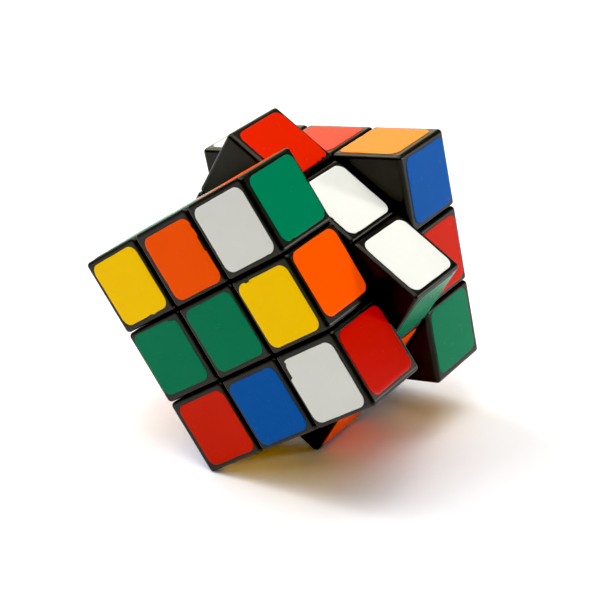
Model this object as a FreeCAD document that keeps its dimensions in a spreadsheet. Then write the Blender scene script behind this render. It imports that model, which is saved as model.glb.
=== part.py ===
import FreeCAD, Part
import math
import os

# Twisty puzzle cube: three layers of cubies round a six-armed core.
# Row frame: origin at the middle of the core, +Y along the axis that the three layers are
# twisted about (the front layer is at -Y), +Z up, millimetres.
# Every cubie is drawn in the frame of the solved cube and is then turned with its layer.

os.makedirs("parts", exist_ok=True)
doc = FreeCAD.newDocument("PuzzleCube")

# ---------------------------------------------------------------- driving dimensions
DIMENSIONS = [
    ("pitch", 19.0, "distance between the middles of neighbouring cubies"),
    ("half_side", 28.5, "core middle to an outer face"),
    ("gap", 0.2, "air between two neighbouring cubies"),
    ("wall", 1.6, "thickness of a cubie's moulded wall"),
    ("edge_round", 1.0, "rounding of a cubie's edges"),
    ("shell_ball", 21.0, "sphere that parts the outer shells from the feet"),
    ("hub_ball", 14.0, "sphere that parts the feet from the core"),
    ("ball_slack", 0.15, "distance kept from each parting sphere"),
    ("foot_cut", 6.5, "core middle to the plane between two feet"),
    ("corner_stem", 2.2, "radius of a corner foot's stem"),
    ("edge_stem", 4.0, "radius of an edge foot's stem"),
    ("stem_slack", 0.02, "radial play of a stem in its boss"),
    ("boss_wall", 1.2, "wall of the boss round a stem"),
    ("boss_start", 22.0, "core middle to the root of a boss"),
    ("boss_top", 25.5, "core middle to the top of a boss"),
    ("head_thick", 1.0, "thickness of the rivet head on a stem"),
    ("cap_thick", 1.6, "thickness of a centre cap's plate"),
    ("skirt_depth", 2.4, "depth of a centre cap's skirt"),
    ("skirt_wall", 1.2, "wall of a centre cap's skirt"),
    ("skirt_slack", 0.05, "play of the skirt in the centre"),
    ("tube_radius", 4.8, "outer radius of the spring tube in a centre"),
    ("bore_radius", 3.4, "inner radius of the spring tube"),
    ("bore_floor", 16.0, "core middle to the floor of the spring tube"),
    ("tube_top", 25.2, "core middle to the top of the spring tube"),
    ("core_radius", 8.0, "ball in the middle of the core"),
    ("arm_radius", 4.0, "radius of a core arm"),
    ("arm_end", 13.2, "core middle to the end of an arm"),
    ("screw_radius", 1.5, "radius of a screw's shank"),
    ("screw_play", 0.05, "radial play of a shank in a centre's floor"),
    ("thread_slack", 0.02, "radial play of a shank in the core"),
    ("screw_tip", 9.0, "core middle to the tip of a screw"),
    ("screw_seat", 21.5, "core middle to the underside of a screw's head"),
    ("screw_head", 2.8, "radius of a screw's head"),
    ("screw_head_thick", 1.8, "thickness of a screw's head"),
    ("slot_width", 0.7, "width of the cross slot in a head"),
    ("slot_depth", 1.1, "depth of the cross slot in a head"),
    ("slot_span", 3.6, "length of the cross slot in a head"),
    ("washer_thick", 0.5, "thickness of a washer"),
    ("washer_radius", 3.0, "outer radius of a washer"),
    ("washer_bore", 1.6, "inner radius of a washer"),
    ("coil_radius", 2.5, "middle radius of a spring"),
    ("wire_radius", 0.3, "radius of the spring wire"),
    ("coil_start", 16.42, "core middle to the first turn of a spring"),
    ("coil_turns", 4.0, "turns of a spring"),
    ("coil_pitch", 1.05, "rise of a spring in one turn"),
    ("sticker_side", 16.2, "side of a sticker"),
    ("sticker_round", 2.2, "corner radius of a sticker"),
    ("sticker_thick", 0.12, "thickness of a sticker"),
    ("front_turn", 32.8, "turn of the front layer, anticlockwise seen from the front"),
    ("middle_turn", -32.8, "turn of the middle slice, anticlockwise seen from the front"),
    ("back_turn", 7.7, "turn of the back layer, anticlockwise seen from the front"),
]

dims = doc.addObject("Spreadsheet::Sheet", "Dims")
for row, (alias, value, meaning) in enumerate(DIMENSIONS, start=1):
    dims.set("A%d" % row, alias)
    dims.set("B%d" % row, str(value))
    dims.set("C%d" % row, meaning)
    dims.setAlias("B%d" % row, alias)
doc.recompute()


def size(alias):
    """The value of one cell of the sheet."""
    return float(getattr(dims, alias))


# ---------------------------------------------------------------- short words for expressions
D = "Dims."
NEAR = "(Dims.pitch / 2 + Dims.gap / 2)"
WIDE = "(Dims.pitch / 2 - Dims.gap / 2)"
DEEP = "(Dims.half_side - Dims.pitch / 2 - Dims.gap / 2)"
FOOT = "(Dims.foot_cut + Dims.gap / 2)"
FOOT_WIDE = "(Dims.foot_cut - Dims.gap / 2)"
SHELL_IN = "(Dims.shell_ball + Dims.ball_slack)"
FOOT_OUT = "(Dims.shell_ball - Dims.ball_slack)"
FOOT_IN = "(Dims.hub_ball + Dims.ball_slack)"
RIM = "(Dims.half_side - Dims.cap_thick)"


# ---------------------------------------------------------------- small builders
def bind(obj, **expressions):
    """Bind properties of an object to the sheet; a double underscore stands for a dot."""
    for name, expression in expressions.items():
        obj.setExpression(name.replace("__", "."), expression)


def place_along(obj, start, direction):
    """Stand a body that is drawn along +Z on a direction, start millimetres out."""
    turn = FreeCAD.Rotation(FreeCAD.Vector(0, 0, 1), direction)
    unit = FreeCAD.Vector(direction).normalize()
    obj.Placement = FreeCAD.Placement(unit * start, turn)


def box(name, x0, y0, z0, length, width, height):
    """A block from its low corner and its three sides, all as expressions."""
    obj = doc.addObject("Part::Box", name)
    bind(obj, Length=length, Width=width, Height=height)
    bind(obj, Placement__Base__x=x0, Placement__Base__y=y0, Placement__Base__z=z0)
    return obj


def ball(name, radius):
    """A sphere round the middle of the core."""
    obj = doc.addObject("Part::Sphere", name)
    bind(obj, Radius=radius)
    return obj


def rod(name, radius, start, end, direction=None):
    """A cylinder on a line through the middle of the core, from start to end."""
    obj = doc.addObject("Part::Cylinder", name)
    bind(obj, Radius=radius, Height="(%s) - (%s)" % (end, start))
    if direction is None:
        bind(obj, Placement__Base__z=start)
    else:
        turn = FreeCAD.Rotation(FreeCAD.Vector(0, 0, 1), direction)
        unit = FreeCAD.Vector(direction).normalize()
        obj.Placement = FreeCAD.Placement(FreeCAD.Vector(0, 0, 0), turn)
        for axis in "xyz":
            share = getattr(unit, axis)
            obj.setExpression("Placement.Base." + axis, "(%s) * %.12f" % (start, share))
    return obj


def cut(name, base, tool):
    obj = doc.addObject("Part::Cut", name)
    obj.Base = base
    obj.Tool = tool
    return obj


def fuse(name, *shapes):
    obj = doc.addObject("Part::MultiFuse", name)
    obj.Shapes = list(shapes)
    return obj


def common(name, *shapes):
    obj = doc.addObject("Part::MultiCommon", name)
    obj.Shapes = list(shapes)
    return obj


def rounded(name, base, radius, wanted=None):
    """Round the edges of a block; wanted picks edges by their middle point and direction."""
    doc.recompute()
    picked = []
    for number, edge in enumerate(base.Shape.Edges, start=1):
        first, last = edge.Vertexes[0].Point, edge.Vertexes[-1].Point
        if wanted is None or wanted(first, last):
            picked.append((number, radius, radius))
    obj = doc.addObject("Part::Fillet", name)
    obj.Base = base
    obj.Edges = picked
    return obj


def upright(first, last):
    """True for an edge that runs along Z."""
    return abs(first.x - last.x) < 1e-6 and abs(first.y - last.y) < 1e-6


# ---------------------------------------------------------------- master pieces
ROUND = size("edge_round")
CORNER_AXIS = FreeCAD.Vector(1, 1, 1)
EDGE_AXIS = FreeCAD.Vector(1, 0, 1)


def hollow_shell(name, outer, cavity, axis, stem):
    """A hollow cubie: a ball-shaped inner wall and a boss that takes the stem of its foot."""
    skin = cut(name + "_skin", outer, ball(name + "_ball", SHELL_IN))
    room = cut(name + "_room", cavity, ball(name + "_floor", SHELL_IN + " + Dims.wall"))
    hull = cut(name + "_hull", skin, room)
    boss = rod(name + "_boss", "%s + Dims.boss_wall" % stem, "Dims.boss_start", "Dims.boss_top", axis)
    body = fuse(name + "_body", hull, boss)
    bore = rod(name + "_bore", "%s + Dims.stem_slack" % stem, "Dims.hub_ball", "Dims.boss_top", axis)
    return cut(name, body, bore)


def foot_on_stem(name, block, axis, stem):
    """A foot in the layer between the two parting balls, with its riveted stem."""
    inside = common(name + "_inside", block, ball(name + "_outer", FOOT_OUT))
    wedge = cut(name + "_wedge", inside, ball(name + "_inner", FOOT_IN))
    post = rod(name + "_post", stem, "Dims.shell_ball - 3", "Dims.boss_top", axis)
    top = "Dims.boss_top + Dims.head_thick"
    head = rod(name + "_head", "%s + Dims.boss_wall - 0.2" % stem, "Dims.boss_top", top, axis)
    return fuse(name, wedge, post, head)


corner_block = box("corner_block", NEAR, NEAR, NEAR, DEEP, DEEP, DEEP)
corner_outer = rounded("corner_outer", corner_block, ROUND)
room_side = DEEP + " - 2 * Dims.wall"
room_near = NEAR + " + Dims.wall"
corner_cavity = box("corner_cavity", room_near, room_near, room_near, room_side, room_side, room_side)
corner_shell = hollow_shell("corner_master", corner_outer, corner_cavity, CORNER_AXIS, "Dims.corner_stem")

foot_side = "Dims.shell_ball"
corner_foot_block = box("corner_foot_block", FOOT, FOOT, FOOT, foot_side, foot_side, foot_side)
corner_foot = foot_on_stem("corner_foot_master", corner_foot_block, CORNER_AXIS, "Dims.corner_stem")

edge_block = box("edge_block", NEAR, "-" + WIDE, NEAR, DEEP, "2 * " + WIDE, DEEP)
edge_outer = rounded("edge_outer", edge_block, ROUND)
room_wide = "(%s - Dims.wall)" % WIDE
edge_cavity = box("edge_cavity", room_near, "-" + room_wide, room_near, room_side, "2 * " + room_wide, room_side)
edge_shell = hollow_shell("edge_master", edge_outer, edge_cavity, EDGE_AXIS, "Dims.edge_stem")

edge_foot_block = box("edge_foot_block", FOOT, "-" + FOOT_WIDE, FOOT, foot_side, "2 * " + FOOT_WIDE, foot_side)
edge_foot = foot_on_stem("edge_foot_master", edge_foot_block, EDGE_AXIS, "Dims.edge_stem")

# Centre: a square box on a square foot, with the spring tube standing in it.
centre_block = box("centre_block", "-" + WIDE, "-" + WIDE, NEAR, "2 * " + WIDE, "2 * " + WIDE, RIM + " - " + NEAR)
centre_outer = rounded("centre_outer", centre_block, ROUND, upright)
centre_skin = cut("centre_skin", centre_outer, ball("centre_ball", SHELL_IN))
centre_cavity = box("centre_cavity", "-" + room_wide, "-" + room_wide, room_near,
                    "2 * " + room_wide, "2 * " + room_wide, "Dims.half_side")
centre_room = cut("centre_room", centre_cavity, ball("centre_floor", SHELL_IN + " + Dims.wall"))
centre_hull = cut("centre_hull", centre_skin, centre_room)
centre_foot_block = box("centre_foot_block", "-" + FOOT_WIDE, "-" + FOOT_WIDE, FOOT,
                        "2 * " + FOOT_WIDE, "2 * " + FOOT_WIDE, "Dims.shell_ball")
centre_foot_outer = common("centre_foot_outer", centre_foot_block, ball("centre_foot_top", "Dims.boss_start"))
centre_foot = cut("centre_foot", centre_foot_outer, ball("centre_foot_under", FOOT_IN))
centre_tube = rod("centre_tube", "Dims.tube_radius", "Dims.bore_floor + 2", "Dims.tube_top")
centre_solid = fuse("centre_solid", centre_hull, centre_foot, centre_tube)
centre_bore = rod("centre_bore", "Dims.bore_radius", "Dims.bore_floor", "Dims.half_side")
centre_hole = rod("centre_hole", "Dims.screw_radius + Dims.screw_play", "Dims.core_radius", "Dims.bore_floor + 1")
centre_drill = fuse("centre_drill", centre_bore, centre_hole)
centre_body = cut("centre_master", centre_solid, centre_drill)

# Centre cap: a rounded plate with a square skirt that pushes into the centre.
cap_block = box("cap_block", "-" + WIDE, "-" + WIDE, RIM, "2 * " + WIDE, "2 * " + WIDE, "Dims.cap_thick")


def cap_edge(first, last):
    """True for the upright edges and the edges of the outer face."""
    top = size("half_side") - 1e-6
    return upright(first, last) or (first.z > top and last.z > top)


cap_plate = rounded("cap_plate", cap_block, ROUND, cap_edge)
skirt_half = "(%s - Dims.skirt_slack)" % room_wide
skirt_low = RIM + " - Dims.skirt_depth"
skirt_block = box("skirt_block", "-" + skirt_half, "-" + skirt_half, skirt_low,
                  "2 * " + skirt_half, "2 * " + skirt_half, "Dims.skirt_depth + Dims.cap_thick / 2")
skirt_in = "(%s - Dims.skirt_wall)" % skirt_half
skirt_hole = box("skirt_hole", "-" + skirt_in, "-" + skirt_in, skirt_low,
                 "2 * " + skirt_in, "2 * " + skirt_in, "Dims.skirt_depth")
cap_skirt = cut("cap_skirt", skirt_block, skirt_hole)
centre_cap = fuse("cap_master", cap_plate, cap_skirt)

# Screw, washer and spring, drawn along +Z.
shank = rod("screw_shank", "Dims.screw_radius", "Dims.screw_tip", "Dims.screw_seat + 1")
screw_end = "Dims.screw_seat + Dims.screw_head_thick"
head = rod("screw_head", "Dims.screw_head", "Dims.screw_seat", screw_end)
screw_blank = fuse("screw_blank", shank, head)
slot_base = screw_end + " - Dims.slot_depth"
slot_one = box("slot_one", "-Dims.slot_span / 2", "-Dims.slot_width / 2", slot_base,
               "Dims.slot_span", "Dims.slot_width", "Dims.slot_depth + 1")
slot_two = box("slot_two", "-Dims.slot_width / 2", "-Dims.slot_span / 2", slot_base,
               "Dims.slot_width", "Dims.slot_span", "Dims.slot_depth + 1")
screw = cut("screw_master", screw_blank, fuse("slot_cross", slot_one, slot_two))

washer_low = "Dims.screw_seat - Dims.washer_thick"
washer_disc = rod("washer_disc", "Dims.washer_radius", washer_low, "Dims.screw_seat")
washer = cut("washer_master", washer_disc, rod("washer_bore", "Dims.washer_bore", washer_low, "Dims.screw_seat + 1"))


def coil_spring(name):
    """A round wire led along arcs that follow a helix, four arcs to a turn."""
    radius = size("coil_radius")
    rise = size("coil_pitch")
    arcs = int(round(4 * size("coil_turns")))

    def point(quarters):
        angle = quarters * math.pi / 2
        height = size("coil_start") + rise * quarters / 4
        return FreeCAD.Vector(radius * math.cos(angle), radius * math.sin(angle), height)

    edges = [Part.Arc(point(i), point(i + 0.5), point(i + 1)).toShape() for i in range(arcs)]
    heading = FreeCAD.Vector(0, radius, rise / (2 * math.pi)).normalize()
    section = Part.Face(Part.Wire(Part.makeCircle(size("wire_radius"), point(0), heading)))
    obj = doc.addObject("Part::Feature", name)
    obj.Shape = Part.Wire(edges).makePipe(section)
    return obj


spring = coil_spring("spring_master")

# Sticker: a thin square with round corners, lying on the outer face at +Z.
half_sticker = "(Dims.sticker_side / 2)"
sticker_block = box("sticker_block", "-" + half_sticker, "-" + half_sticker, "Dims.half_side",
                    "Dims.sticker_side", "Dims.sticker_side", "Dims.sticker_thick")
sticker = rounded("sticker_master", sticker_block, size("sticker_round"), upright)

# Core: a ball with six arms, each drilled for its screw.
SIX = [(1, 0, 0), (-1, 0, 0), (0, 1, 0), (0, -1, 0), (0, 0, 1), (0, 0, -1)]
core_parts = [ball("core_ball", "Dims.core_radius")]
drills = []
for index, way in enumerate(SIX, start=1):
    direction = FreeCAD.Vector(*way)
    core_parts.append(rod("core_arm_%d" % index, "Dims.arm_radius", "Dims.core_radius / 2", "Dims.arm_end", direction))
    drills.append(rod("core_drill_%d" % index, "Dims.screw_radius + Dims.thread_slack",
                      "Dims.screw_tip", "Dims.arm_end + 1", direction))
core = cut("core_master", fuse("core_solid", *core_parts), fuse("core_drills", *drills))

doc.recompute()


# ---------------------------------------------------------------- places
def toward(out, up):
    """The turn that takes +X to out and +Z to up; both are unit vectors at right angles."""
    return FreeCAD.Rotation(out, up.cross(out), up, "XZY")


def any_side(normal):
    """A unit vector at right angles to the normal."""
    if abs(normal.z) > 0.5:
        return FreeCAD.Vector(1, 0, 0)
    return FreeCAD.Vector(0, 0, 1).cross(normal)


def layer_turn(layer):
    """A layer's turn about the Y axis; anticlockwise from the front is negative about +Y."""
    angle = size(layer + "_turn")
    return FreeCAD.Placement(FreeCAD.Vector(0, 0, 0), FreeCAD.Rotation(FreeCAD.Vector(0, 1, 0), -angle))


def copy_of(master, name, turn, shift=None):
    """A placed copy of a master piece."""
    obj = doc.addObject("Part::Compound", name)
    obj.Links = [master]
    base = shift if shift is not None else FreeCAD.Vector(0, 0, 0)
    obj.Placement = FreeCAD.Placement(base, turn)
    return obj


nodes = []


def sub_part(label, layer, pieces):
    """A named sub-part: its pieces, turned with their layer."""
    obj = doc.addObject("Part::Compound", "node_" + label)
    obj.Links = pieces
    obj.Label = label
    obj.Placement = layer_turn(layer)
    nodes.append((obj, len(pieces)))
    return obj


LAYERS = [("front", -1), ("middle", 0), ("back", 1)]
SIDE_WORD = {-1: "left", 0: "", 1: "right"}
RISE_WORD = {-1: "bottom", 0: "", 1: "top"}


def unit(axis, sign):
    """A unit vector along x, y or z."""
    values = {"x": 0, "y": 0, "z": 0}
    values[axis] = sign
    return FreeCAD.Vector(values["x"], values["y"], values["z"])


def place_word(x, z):
    """The place of a cubie in its layer, seen from the front of the cube."""
    words = [RISE_WORD[z], SIDE_WORD[x]]
    return "_".join(word for word in words if word)


def cubie_turn(x, y, z):
    """The turn that takes the master edge or centre to its place in the solved cube."""
    signs = {"x": x, "y": y, "z": z}
    used = [axis for axis in "xyz" if signs[axis]]
    if len(used) == 2:
        return toward(unit(used[0], signs[used[0]]), unit(used[1], signs[used[1]]))
    normal = unit(used[0], signs[used[0]])
    return toward(any_side(normal), normal)


def corner_turn(x, y, z):
    """The turn that takes the (+,+,+) corner to the corner with these signs."""
    for up in (FreeCAD.Rotation(), FreeCAD.Rotation(FreeCAD.Vector(1, 0, 0), 180)):
        for quarter in range(4):
            turn = FreeCAD.Rotation(FreeCAD.Vector(0, 0, 1), 90 * quarter) * up
            spot = turn.multVec(FreeCAD.Vector(1, 1, 1))
            if (spot - FreeCAD.Vector(x, y, z)).Length < 1e-6:
                return turn
    raise ValueError("no turn reaches this corner")


feet = {}
for layer, y in LAYERS:
    for x in (-1, 0, 1):
        for z in (-1, 0, 1):
            kind = abs(x) + abs(y) + abs(z)
            if kind == 0:
                continue
            where = place_word(x, z)
            name = "_".join(word for word in (layer, where) if word)
            if kind == 3:
                turn = corner_turn(x, y, z)
                sub_part(name + "_corner", layer, [copy_of(corner_shell, name + "_shell", turn)])
                feet.setdefault(layer + "_corner_feet", []).append(copy_of(corner_foot, name + "_foot", turn))
            elif kind == 2:
                turn = cubie_turn(x, y, z)
                sub_part(name + "_edge", layer, [copy_of(edge_shell, name + "_shell", turn)])
                feet.setdefault(layer + "_edge_feet", []).append(copy_of(edge_foot, name + "_foot", turn))
            else:
                turn = cubie_turn(x, y, z)
                sub_part(name + "_centre", layer, [copy_of(centre_body, name + "_body", turn)])
                sub_part(name + "_centre_cap", layer, [copy_of(centre_cap, name + "_cap", turn)])

for label, pieces in feet.items():
    sub_part(label, label.split("_")[0], pieces)

# The core and everything on its arms stand with the middle slice.
sub_part("core_spider", "middle", [copy_of(core, "core", FreeCAD.Rotation())])
for label, master in (("core_screws", screw), ("core_washers", washer), ("core_springs", spring)):
    pieces = []
    for index, way in enumerate(SIX, start=1):
        normal = FreeCAD.Vector(*way)
        pieces.append(copy_of(master, "%s_%d" % (label, index), toward(any_side(normal), normal)))
    sub_part(label, "middle", pieces)

# ---------------------------------------------------------------- stickers
# Each entry: place of the cubie (x, y, z) and the colours on its -Y, +Y, -X, +X, -Z and +Z faces.
# w white, y yellow, g green, b blue, r red, o orange, a dot where the cubie has no outer face.
STICKERS = {
    (-1, -1, 1): "y.r..g",
    (0, -1, 1): "o....g",
    (1, -1, 1): "w..g.o",
    (-1, -1, 0): "g.y...",
    (0, -1, 0): "g.....",
    (1, -1, 0): "y..o..",
    (-1, -1, -1): "r.b.y.",
    (0, -1, -1): "b...y.",
    (1, -1, -1): "w..rb.",
    (-1, 0, 1): "..g..r",
    (0, 0, 1): ".....w",
    (1, 0, 1): "...g.w",
    (-1, 0, 0): "..r...",
    (1, 0, 0): "...o..",
    (-1, 0, -1): "..b.o.",
    (0, 0, -1): "....y.",
    (1, 0, -1): "...ow.",
    (-1, 1, 1): ".rg..w",
    (0, 1, 1): ".b...r",
    (1, 1, 1): ".w.b.o",
    (-1, 1, 0): ".rw...",
    (0, 1, 0): ".b....",
    (1, 1, 0): ".y.r..",
    (-1, 1, -1): ".yo.b.",
    (0, 1, -1): ".w..b.",
    (1, 1, -1): ".o.gy.",
}
FACES = [("y", -1), ("y", 1), ("x", -1), ("x", 1), ("z", -1), ("z", 1)]
COLOURS = {"w": "white", "y": "yellow", "g": "green", "b": "blue", "r": "red", "o": "orange"}
LAYER_NAME = {-1: "front", 0: "middle", 1: "back"}

groups = {}
for (x, y, z), letters in STICKERS.items():
    for (axis, sign), letter in zip(FACES, letters):
        if letter == ".":
            continue
        normal = unit(axis, sign)
        offset = FreeCAD.Vector(x, y, z) - normal
        turn = toward(any_side(normal), normal)
        layer = LAYER_NAME[y]
        label = "%s_%s_stickers" % (layer, COLOURS[letter])
        pieces = groups.setdefault(label, [])
        name = "%s_%d" % (label, len(pieces) + 1)
        pieces.append(copy_of(sticker, name, turn, offset * size("pitch")))

for label in sorted(groups):
    sub_part(label, label.split("_")[0], groups[label])

# ---------------------------------------------------------------- checks and export
doc.recompute()
for obj in doc.Objects:
    if "Invalid" in obj.State or "Error" in obj.State:
        raise RuntimeError("%s failed: %s" % (obj.Label, obj.State))

total = 0.0
for obj, expected in nodes:
    shape = obj.Shape
    if shape.isNull() or not shape.isValid():
        raise RuntimeError("%s has no valid shape" % obj.Label)
    if len(shape.Solids) != expected:
        raise RuntimeError("%s has %d solids, not %d" % (obj.Label, len(shape.Solids), expected))
    total += shape.Volume
    shape.exportStep("parts/%s.step" % obj.Label)
print("%d sub-parts, %.1f cm3" % (len(nodes), total / 1000.0))
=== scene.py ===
import math
import random

import bmesh
import bpy
from mathutils import Matrix, Vector


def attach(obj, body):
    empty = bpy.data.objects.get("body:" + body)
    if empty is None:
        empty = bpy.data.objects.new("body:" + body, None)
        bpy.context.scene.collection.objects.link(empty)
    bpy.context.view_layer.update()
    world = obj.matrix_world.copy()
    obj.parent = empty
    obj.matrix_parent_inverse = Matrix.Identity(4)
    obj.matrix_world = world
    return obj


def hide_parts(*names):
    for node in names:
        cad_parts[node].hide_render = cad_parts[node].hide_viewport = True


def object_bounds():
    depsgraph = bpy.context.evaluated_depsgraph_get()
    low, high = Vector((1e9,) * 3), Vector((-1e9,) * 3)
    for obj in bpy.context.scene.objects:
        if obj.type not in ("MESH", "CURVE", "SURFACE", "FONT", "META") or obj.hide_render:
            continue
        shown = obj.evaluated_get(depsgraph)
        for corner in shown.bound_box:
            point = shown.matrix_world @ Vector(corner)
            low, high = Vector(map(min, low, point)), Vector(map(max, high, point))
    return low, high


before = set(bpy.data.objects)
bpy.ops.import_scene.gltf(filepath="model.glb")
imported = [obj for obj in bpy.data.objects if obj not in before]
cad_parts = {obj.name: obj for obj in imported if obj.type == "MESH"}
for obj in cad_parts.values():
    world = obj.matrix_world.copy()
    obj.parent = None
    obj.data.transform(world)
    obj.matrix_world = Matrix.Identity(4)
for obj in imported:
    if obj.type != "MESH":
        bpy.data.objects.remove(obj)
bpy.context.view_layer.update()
MM = 0.001

# ---------------------------------------------------------------- sizes of the CAD model, mm
PITCH = 19.0
HALF_SIDE = 28.5
EDGE_ROUND = 1.0
FACE_HALF = 9.4
STICKER_HALF = 8.08
STICKER_ROUND = 2.2
STICKER_THICK = 0.12
# Turn of each layer in degrees, anticlockwise seen from the front.
TURN = {"front": 32.8, "middle": -32.8, "back": 7.7}
LAYER_NAME = {-1: "front", 0: "middle", 1: "back"}
BODY = {"front": "front_layer", "middle": "middle_slice", "back": "back_layer"}

# Colours on the -Y, +Y, -X, +X, -Z and +Z faces of each cubie of the solved frame.
STICKERS = {
    (-1, -1, 1): "y.r..g",
    (0, -1, 1): "o....g",
    (1, -1, 1): "w..g.o",
    (-1, -1, 0): "g.y...",
    (0, -1, 0): "g.....",
    (1, -1, 0): "y..o..",
    (-1, -1, -1): "r.b.y.",
    (0, -1, -1): "b...y.",
    (1, -1, -1): "w..rb.",
    (-1, 0, 1): "..g..r",
    (0, 0, 1): ".....w",
    (1, 0, 1): "...g.w",
    (-1, 0, 0): "..r...",
    (1, 0, 0): "...o..",
    (-1, 0, -1): "..b.o.",
    (0, 0, -1): "....y.",
    (1, 0, -1): "...ow.",
    (-1, 1, 1): ".rg..w",
    (0, 1, 1): ".b...r",
    (1, 1, 1): ".w.b.o",
    (-1, 1, 0): ".rw...",
    (0, 1, 0): ".b....",
    (1, 1, 0): ".y.r..",
    (-1, 1, -1): ".yo.b.",
    (0, 1, -1): ".w..b.",
    (1, 1, -1): ".o.gy.",
}
FACES = [("y", -1), ("y", 1), ("x", -1), ("x", 1), ("z", -1), ("z", 1)]
COLOURS = {"w": "white", "y": "yellow", "g": "green", "b": "blue", "r": "red", "o": "orange"}


# ---------------------------------------------------------------- materials
class Nodes:
    """A small helper that adds and links shader nodes."""

    def __init__(self, name):
        self.material = bpy.data.materials.new(name)
        self.material.use_nodes = True
        self.tree = self.material.node_tree
        self.tree.nodes.clear()
        self.out = self.add("ShaderNodeOutputMaterial")

    def add(self, kind, **settings):
        node = self.tree.nodes.new(kind)
        for key, value in settings.items():
            setattr(node, key, value)
        return node

    def link(self, source, target):
        self.tree.links.new(source, target)

    def noise(self, scale, detail=2.0, rough=0.5):
        """Noise in millimetres of the object's own space: scale is features per millimetre."""
        place = self.add("ShaderNodeTexCoord")
        node = self.add("ShaderNodeTexNoise")
        node.inputs["Scale"].default_value = scale / MM
        node.inputs["Detail"].default_value = detail
        node.inputs["Roughness"].default_value = rough
        self.link(place.outputs["Object"], node.inputs["Vector"])
        return node.outputs["Fac"]

    def remap(self, source, low, high, out_low, out_high):
        node = self.add("ShaderNodeMapRange")
        node.inputs["From Min"].default_value = low
        node.inputs["From Max"].default_value = high
        node.inputs["To Min"].default_value = out_low
        node.inputs["To Max"].default_value = out_high
        self.link(source, node.inputs["Value"])
        return node.outputs["Result"]

    def mix(self, factor, first, second):
        node = self.add("ShaderNodeMix", data_type="RGBA")
        node.inputs["A"].default_value = first
        node.inputs["B"].default_value = second
        self.link(factor, node.inputs["Factor"])
        return node.outputs["Result"]

    def bump(self, height, strength, distance):
        node = self.add("ShaderNodeBump")
        node.inputs["Strength"].default_value = strength
        node.inputs["Distance"].default_value = distance
        self.link(height, node.inputs["Height"])
        return node.outputs["Normal"]


def vinyl(name, colour):
    """Thin glossy vinyl: even colour with a faint mottle and handling haze."""
    n = Nodes(name)
    shader = n.add("ShaderNodeBsdfPrincipled")
    n.link(shader.outputs[0], n.out.inputs["Surface"])
    light = tuple(min(1.0, c * 1.01) for c in colour[:3]) + (1.0,)
    dark = tuple(c * 0.99 for c in colour[:3]) + (1.0,)
    cloud = n.noise(0.16, 3.0, 0.55)
    n.link(n.mix(n.remap(cloud, 0.35, 0.65, 0.0, 1.0), dark, light), shader.inputs["Base Color"])
    haze = n.noise(0.5, 4.0, 0.6)
    n.link(n.remap(haze, 0.3, 0.75, 0.25, 0.28), shader.inputs["Roughness"])
    shader.inputs["IOR"].default_value = 1.38
    shader.inputs["Specular IOR Level"].default_value = 0.075
    return n.material


def moulded(name, colour, rough_low, rough_high):
    """Moulded plastic with a soft sheen, polished and scuffed unevenly."""
    n = Nodes(name)
    shader = n.add("ShaderNodeBsdfPrincipled")
    n.link(shader.outputs[0], n.out.inputs["Surface"])
    light = tuple(c * 1.5 + 0.002 for c in colour[:3]) + (1.0,)
    cloud = n.noise(0.12, 4.0, 0.6)
    n.link(n.mix(n.remap(cloud, 0.35, 0.7, 0.0, 1.0), colour, light), shader.inputs["Base Color"])
    wear = n.noise(0.6, 5.0, 0.65)
    n.link(n.remap(wear, 0.3, 0.75, rough_low, rough_high), shader.inputs["Roughness"])
    grain = n.noise(5.0, 3.0, 0.6)
    n.link(n.bump(grain, 0.04, 0.01 * MM), shader.inputs["Normal"])
    shader.inputs["IOR"].default_value = 1.45
    shader.inputs["Specular IOR Level"].default_value = 0.28
    shader.inputs["Specular Tint"].default_value = (1.0, 0.95, 0.80, 1.0)
    return n.material


def metal(name, colour, roughness):
    """Plain plated steel with faint streaks."""
    n = Nodes(name)
    shader = n.add("ShaderNodeBsdfPrincipled")
    n.link(shader.outputs[0], n.out.inputs["Surface"])
    shader.inputs["Metallic"].default_value = 1.0
    light = tuple(min(1.0, c * 1.15) for c in colour[:3]) + (1.0,)
    streak = n.noise(2.0, 4.0, 0.6)
    n.link(n.mix(n.remap(streak, 0.35, 0.65, 0.0, 1.0), colour, light), shader.inputs["Base Color"])
    n.link(n.remap(streak, 0.3, 0.7, roughness * 0.8, roughness * 1.2), shader.inputs["Roughness"])
    return n.material


VINYL = {
    "white": vinyl("vinyl_white", (0.71, 0.71, 0.650, 1.0)),
    "yellow": vinyl("vinyl_yellow", (0.96, 0.57, 0.004, 1.0)),
    "green": vinyl("vinyl_green", (0.006, 0.180, 0.080, 1.0)),
    "blue": vinyl("vinyl_blue", (0.006, 0.088, 0.355, 1.0)),
    "red": vinyl("vinyl_red", (0.59, 0.018, 0.006, 1.0)),
    "orange": vinyl("vinyl_orange", (0.92, 0.088, 0.004, 1.0)),
    # Painted highlight: orange lightened towards yellow, as a top face looks when overexposed under
    # a warm reflection.
    "painted_highlight_orange": vinyl("vinyl_faded_orange", (0.92, 0.210, 0.006, 1.0)),
    # Painted shade: a darker red for the lowest sticker on the right side, which gets less light.
    "painted_shade_red": vinyl("vinyl_deep_red", (0.45, 0.008, 0.003, 1.0)),
}
# Stickers given another shade to paint light and shade on them, by cubie and face: a painted
# highlight on the top orange one and painted shade on the lower right red one.
PAINTED_LIGHT_STICKERS = {(1, 1, 1, "z"): "painted_highlight_orange", (1, -1, -1, "x"): "painted_shade_red"}
SHELL = moulded("shell_plastic", (0.0058, 0.0055, 0.0045, 1.0), 0.28, 0.40)
FOOT = moulded("foot_plastic", (0.012, 0.012, 0.011, 1.0), 0.28, 0.40)
CORE = moulded("core_plastic", (0.55, 0.55, 0.52, 1.0), 0.35, 0.50)
STEEL = metal("plated_steel", (0.55, 0.55, 0.54, 1.0), 0.30)

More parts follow.
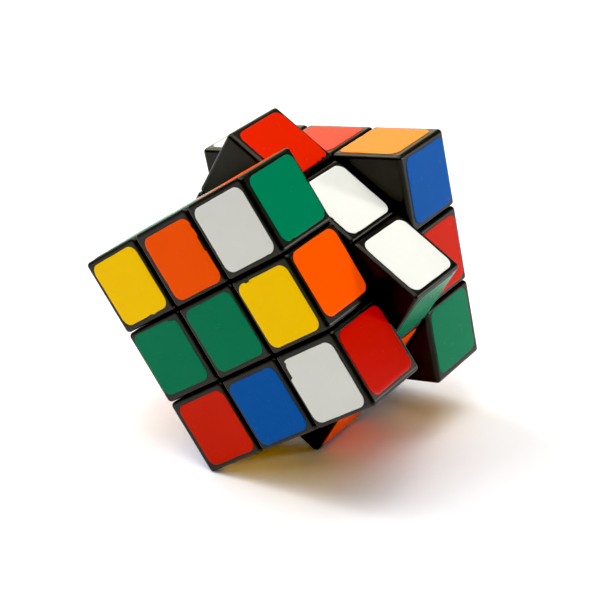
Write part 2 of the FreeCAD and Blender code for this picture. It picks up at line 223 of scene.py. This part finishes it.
for name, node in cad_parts.items():
    if name.endswith("_stickers"):
        continue
    if name == "core_spider":
        finish = CORE
    elif name.startswith("core_"):
        finish = STEEL
    elif name.endswith("_feet"):
        finish = FOOT
    else:
        finish = SHELL
    for slot in node.material_slots:
        slot.material = finish
    if not node.material_slots:
        node.data.materials.append(finish)


# ---------------------------------------------------------------- stickers
def layer_matrix(layer):
    """A layer's turn about the Y axis; anticlockwise from the front is negative about +Y."""
    return Matrix.Rotation(math.radians(-TURN[layer]), 4, "Y")


def unit(axis, sign):
    return Vector([sign if axis == letter else 0 for letter in "xyz"])


def any_side(normal):
    if abs(normal.z) > 0.5:
        return Vector((1, 0, 0))
    return Vector((0, 0, 1)).cross(normal)


def rounded_square(half, corner, corner_steps, side_steps):
    """Points of a square with round corners, anticlockwise from the top of its right side."""
    points = []
    flat = half - corner
    for quarter in range(4):
        start = math.pi / 2 * quarter
        middle = Vector((flat, flat))
        middle.rotate(Matrix.Rotation(start, 2))
        for step in range(corner_steps + 1):
            angle = start + math.pi / 2 * step / corner_steps
            points.append(middle + Vector((math.cos(angle), math.sin(angle))) * corner)
        last = points[-1]
        along = Vector((-math.sin(start + math.pi / 2), math.cos(start + math.pi / 2)))
        for step in range(1, side_steps):
            points.append(last + along * (2 * flat * step / side_steps))
    return points


def wrap_drop(u, v):
    """How far the plastic falls away under a point near the rounded edge of a cubie."""
    drop = 0.0
    for value in (u, v):
        over = abs(value) - (FACE_HALF - EDGE_ROUND)
        if over > 0:
            drop += EDGE_ROUND - math.sqrt(max(0.0, EDGE_ROUND ** 2 - over ** 2))
    return drop


# How far off the middle of its cubie each listed sticker sits, in mm to the right and up.
# The other stickers are shifted by chance, and all are turned by chance, up to these amounts
# in mm and degrees.
LAID_SHIFT = 0.25
LAID_TWIST = 0.7
OFF_CENTRE = {
    (-1, -1, 1, "y"): (0.15, 0.15),
    (0, -1, 1, "y"): (0.60, -0.25),
    (1, -1, 1, "y"): (0.15, 0.05),
    (-1, -1, 0, "y"): (-0.35, 0.30),
    (0, -1, 0, "y"): (0.25, 0.10),
    (1, -1, 0, "y"): (-0.10, -0.10),
    (-1, -1, -1, "y"): (0.50, -0.15),
    (0, -1, -1, "y"): (-0.10, -0.30),
    (1, -1, -1, "y"): (-0.20, -0.35),
    (1, -1, 1, "x"): (0.30, 0.20),
    (1, -1, 0, "x"): (-0.20, 0.70),
    (1, -1, -1, "x"): (-0.30, 0.10),
    (1, 1, 1, "x"): (0.55, 0.00),
    (1, 1, -1, "x"): (-0.30, 0.45),
    (1, 1, 1, "z"): (-0.45, 0.00),
    (-1, 0, 1, "z"): (0.00, 0.30),
}
# Nicks in the cut edges: side (0 right, 1 top, 2 left, 3 bottom), then the nick's middle and
# length along that side and its depth, in mm. A negative depth is a tag that stands out.
NICKS = {
    (1, -1, -1, "y"): [(2, -6.0, 4.4, 0.75)],
    (0, -1, 1, "y"): [(0, 1.2, 3.4, 0.35), (0, 5.4, 1.0, 0.20)],
    (1, -1, 0, "y"): [(1, 4.4, 1.4, 0.30)],
    (-1, -1, 0, "y"): [(1, -6.4, 1.6, 0.45)],
    (-1, -1, 1, "y"): [(3, 2.2, 1.4, -0.15)],
    (-1, 0, 1, "z"): [(0, 5.6, 1.2, 0.35), (0, 3.4, 0.8, 0.20), (1, -6.0, 1.0, 0.25)],
    (1, 1, 1, "z"): [(2, 4.0, 1.2, 0.20), (2, 1.0, 1.2, 0.15), (2, -3.0, 1.6, 0.20),
                     (3, -2.0, 2.4, 0.15)],
    (1, 1, 1, "x"): [(1, -4.0, 1.0, 0.15), (1, 0.5, 1.4, 0.15)],
}
# A nick moves the points in a band this wide along its side, mm, and its ends slope over this
# share of half its length.
NICK_BAND = 0.9
NICK_SLOPE = 0.15
# Section of a sticker from its cut edge inwards: distance in, and distance below its flat top, mm.
SECTION = [(0.00, STICKER_THICK), (0.00, 0.05), (0.02, 0.03), (0.15, 0.015), (0.40, 0.0),
           (1.20, 0.0)]
# The waves and nicks of the cut edge have faded out this far in, mm.
EDGE_FADE = 1.2
CORNER_STEPS = 8
SIDE_STEPS = 64


def nick_move(point, nicks):
    """How the nicks move a point of the outline, as a vector in the sticker's plane."""
    move = Vector((0.0, 0.0))
    for side, middle, length, depth in nicks:
        outward = Vector((math.cos(math.pi / 2 * side), math.sin(math.pi / 2 * side)))
        along = Vector((-outward.y, outward.x))
        if point.dot(outward) < STICKER_HALF - NICK_BAND:
            continue
        distance = abs(point.dot(along) - middle) / (length / 2)
        if distance < 1.0 + NICK_SLOPE:
            move -= outward * depth * min(1.0, (1.0 + NICK_SLOPE - distance) / NICK_SLOPE)
    return move


def sticker_mesh(name, seed, key):
    """A thin cut square of vinyl: upright cut edge, a pressed rim and a flat top."""
    rng = random.Random(seed)
    outline = rounded_square(STICKER_HALF, STICKER_ROUND, CORNER_STEPS, SIDE_STEPS)
    chance = (rng.uniform(-LAID_SHIFT, LAID_SHIFT), rng.uniform(-LAID_SHIFT, LAID_SHIFT))
    shift = Vector(OFF_CENTRE.get(key, chance))
    twist = math.radians(rng.uniform(-LAID_TWIST, LAID_TWIST))
    waves = [(rng.uniform(0.005, 0.02), rng.randint(2, 9), rng.uniform(0, math.tau))
             for _ in range(3)]
    nicks = [(rng.randint(0, 3), rng.uniform(-6.0, 6.0), rng.uniform(0.5, 1.4),
              rng.uniform(0.05, 0.16))
             for _ in range(rng.randint(0, 2))]
    nicks += NICKS.get(key, [])
    mesh = bpy.data.meshes.new(name)
    bm = bmesh.new()
    loops = []
    count = len(outline)
    for inset, drop in SECTION:
        height = STICKER_THICK - drop
        loop = []
        for index, corner in enumerate(outline):
            wobble = sum(a * math.sin(k * math.tau * index / count + p) for a, k, p in waves)
            fade = max(0.0, 1.0 - inset / EDGE_FADE)
            point = corner - corner.normalized() * (inset - wobble)
            point += nick_move(corner, nicks) * fade
            point.rotate(Matrix.Rotation(twist, 2))
            point += shift
            loop.append(bm.verts.new((point.x, point.y, height - wrap_drop(point.x, point.y))))
        loops.append(loop)
    for low, high in zip(loops, loops[1:]):
        for index in range(count):
            after = (index + 1) % count
            bm.faces.new((low[index], low[after], high[after], high[index]))
    bm.faces.new(loops[-1])
    bm.faces.new(list(reversed(loops[0])))
    bm.to_mesh(mesh)
    bm.free()
    for face in mesh.polygons:
        face.use_smooth = True
    return mesh


count_by_group = {}
seed = 0
for (x, y, z), letters in STICKERS.items():
    for (axis, sign), letter in zip(FACES, letters):
        if letter == ".":
            continue
        seed += 1
        layer = LAYER_NAME[y]
        colour = COLOURS[letter]
        group = "%s_%s_stickers" % (layer, colour)
        count_by_group[group] = count_by_group.get(group, 0) + 1
        name = "%s_%s_vinyl_%d" % (layer, colour, count_by_group[group])
        # OFF_CENTRE, NICKS and the table of stickers with painted light or shade only name stickers
        # on front, right and top faces.
        key = (x, y, z, axis) if (sign < 0) == (axis == "y") else None
        mesh = sticker_mesh(name, seed, key)
        normal = unit(axis, sign)
        side = any_side(normal)
        offset = (Vector((x, y, z)) - normal) * PITCH + normal * HALF_SIDE
        turn = Matrix((side, normal.cross(side), normal)).transposed().to_4x4()
        place = layer_matrix(layer) @ Matrix.Translation(offset) @ turn
        mesh.transform(Matrix.Scale(MM, 4) @ place)
        # Stickers in the painted light table take a vinyl with painted highlight or painted shade
        # instead of their own colour.
        mesh.materials.append(VINYL[PAINTED_LIGHT_STICKERS.get(key, colour)])
        piece = bpy.data.objects.new(name, mesh)
        bpy.context.scene.collection.objects.link(piece)
        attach(piece, BODY[layer])
        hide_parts(group)


# ---------------------------------------------------------------- floor, light and camera
FLOOR_HALF = 3.0
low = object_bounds()[0].z
floor_mesh = bpy.data.meshes.new("floor")
bm = bmesh.new()
bmesh.ops.create_grid(bm, x_segments=8, y_segments=8, size=FLOOR_HALF)
bm.to_mesh(floor_mesh)
bm.free()
floor = bpy.data.objects.new("floor", floor_mesh)
floor.location.z = low
bpy.context.scene.collection.objects.link(floor)
paper = Nodes("paper")
paper_shader = paper.add("ShaderNodeBsdfPrincipled")
paper.link(paper_shader.outputs[0], paper.out.inputs["Surface"])
paper_shader.inputs["Base Color"].default_value = (0.95, 0.95, 0.95, 1.0)
paper_shader.inputs["Roughness"].default_value = 0.9
paper_shader.inputs["Specular IOR Level"].default_value = 0.0
floor_mesh.materials.append(paper.material)

world = bpy.data.worlds.new("studio")
bpy.context.scene.world = world
world.use_nodes = True
backdrop = world.node_tree.nodes["Background"]
backdrop.inputs["Color"].default_value = (1.0, 1.0, 1.0, 1.0)
backdrop.inputs["Strength"].default_value = 0.01


# All the lights hang this far from the middle of the object, in metres.
LIGHT_DISTANCE = 1.0


def softbox(name, azimuth, elevation, size, power, colour=(1.0, 1.0, 1.0)):
    """A square soft light that faces the object, placed by the direction it shines from."""
    lamp = bpy.data.lights.new(name, "AREA")
    lamp.shape = "SQUARE"
    lamp.size = size
    lamp.energy = power
    lamp.color = colour
    holder = bpy.data.objects.new(name, lamp)
    a, e = math.radians(azimuth), math.radians(elevation)
    towards = Vector((math.sin(a) * math.cos(e), -math.cos(a) * math.cos(e), math.sin(e)))
    spot = towards * LIGHT_DISTANCE
    holder.location = spot
    holder.rotation_euler = (-spot).to_track_quat("-Z", "Y").to_euler()
    bpy.context.scene.collection.objects.link(holder)
    return holder


# Azimuth to the right of the front face's normal and elevation in degrees, side in m, power in W.
softbox("left_softbox", -95, 45, 0.5, 6.0)
softbox("front_left_softbox", -60, 60, 0.5, 2.9)
softbox("overhead_softbox", 0, 88, 0.5, 4.0)
softbox("back_softbox", 143, 65, 0.5, 3.6)
softbox("camera_softbox", 40, 60, 0.5, 3.0)
softbox("low_right_softbox", 128, 6, 0.15, 3.7)
# A warm card that only shows as a reflection and lights nothing by itself.
gloss_card = softbox("gloss_card", -140, 17, 0.7, 3.0, (1.0, 0.93, 0.62))
gloss_card.visible_diffuse = False

# Camera: azimuth is to the right of the front face's normal, elevation above the floor.
CAMERA_AZIMUTH = 36.58
CAMERA_ELEVATION = 26.70
CAMERA_ROLL = 4.79
CAMERA_DISTANCE = 0.43245
CAMERA_TARGET = Vector((0.00162, -0.00125, -0.00391))
CAMERA_LENS = 110.85
BLACK_LEVEL = 0.010

camera_data = bpy.data.cameras.new("camera")
camera_data.lens = CAMERA_LENS
camera_data.sensor_width = 36.0
camera_data.clip_start = 0.01
camera = bpy.data.objects.new("camera", camera_data)
azimuth = math.radians(CAMERA_AZIMUTH)
elevation = math.radians(CAMERA_ELEVATION)
outward = Vector((math.sin(azimuth) * math.cos(elevation),
                  -math.cos(azimuth) * math.cos(elevation),
                  math.sin(elevation)))
camera.location = CAMERA_TARGET + outward * CAMERA_DISTANCE
look = (-outward).to_track_quat("-Z", "Y").to_matrix().to_4x4()
roll = Matrix.Rotation(math.radians(-CAMERA_ROLL), 4, "Z")
camera.rotation_euler = (look @ roll).to_euler()
bpy.context.scene.collection.objects.link(camera)
bpy.context.scene.camera = camera
view = bpy.context.scene.view_settings
view.view_transform = "Standard"
view.use_curve_mapping = True
view.curve_mapping.black_level = (BLACK_LEVEL,) * 3
view.curve_mapping.update()
